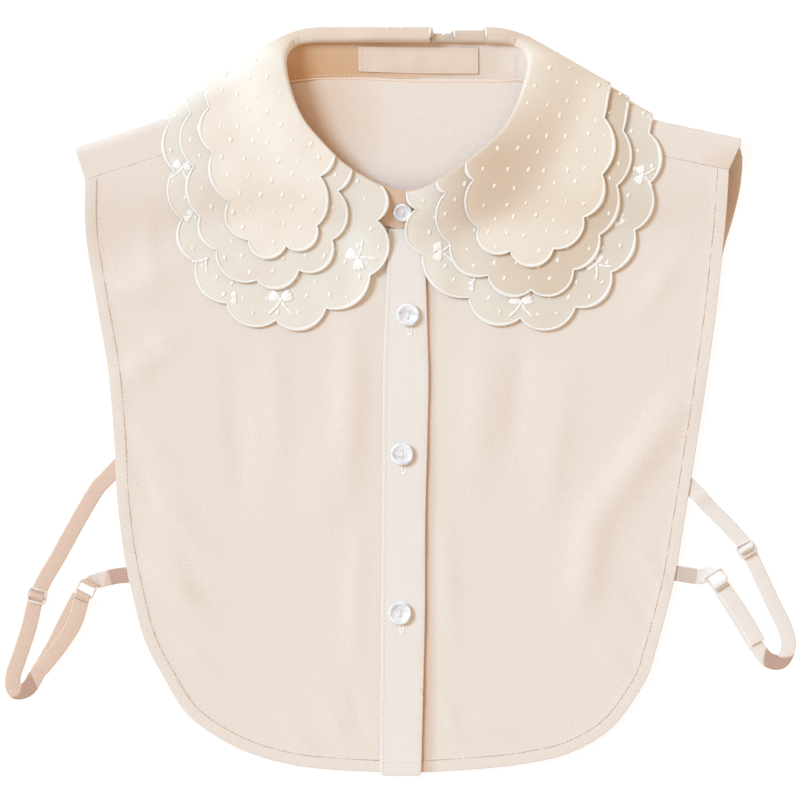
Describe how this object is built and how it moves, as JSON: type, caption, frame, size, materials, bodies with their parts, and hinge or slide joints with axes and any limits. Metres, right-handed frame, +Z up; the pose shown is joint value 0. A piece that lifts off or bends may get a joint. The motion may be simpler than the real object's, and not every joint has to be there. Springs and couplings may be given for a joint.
{
  "type": "detachable collar",
  "caption": "False-front collar laid flat: bib panels, buttoned placket, layered scalloped organza collar on a stand and adjustable side straps.",
  "frame": {"origin": "centre of the bounding box on the surface that the garment lies on", "axes": "+X towards the right of the laid garment as it is seen from above, +Y towards the neck, +Z up from the surface"},
  "size_m": [0.3946, 0.3735, 0.0204],
  "materials": {
    "crepe": "fine crepe with a soft matt grain",
    "organza": "thin organza with small raised dots and satin-stitched edges",
    "pearl": "pearly, polished",
    "tape": "ribbed elastic tape with a slight sheen",
    "clear": "clear, moulded",
    "label": "woven satin ribbon, bare"
  },
  "bodies": {
    "root": {"back_panel": "crepe", "front_left": "crepe", "front_right": "crepe", "over_placket": "crepe", "under_placket": "crepe", "collar_stand": "crepe", "collar_under_left": "organza", "collar_middle_left": "organza", "collar_top_left": "organza", "collar_under_right": "organza", "collar_middle_right": "organza", "collar_top_right": "organza", "button_band": "pearl", "button_upper": "pearl", "button_middle": "pearl", "button_lower": "pearl", "label": "label", "strap_left": "tape", "strap_return_left": "tape", "tab_left": "tape", "slider_left": "clear", "ring_left": "clear", "strap_right": "tape", "strap_return_right": "tape", "tab_right": "tape", "slider_right": "clear", "ring_right": "clear"}
  },
  "joints": []
}
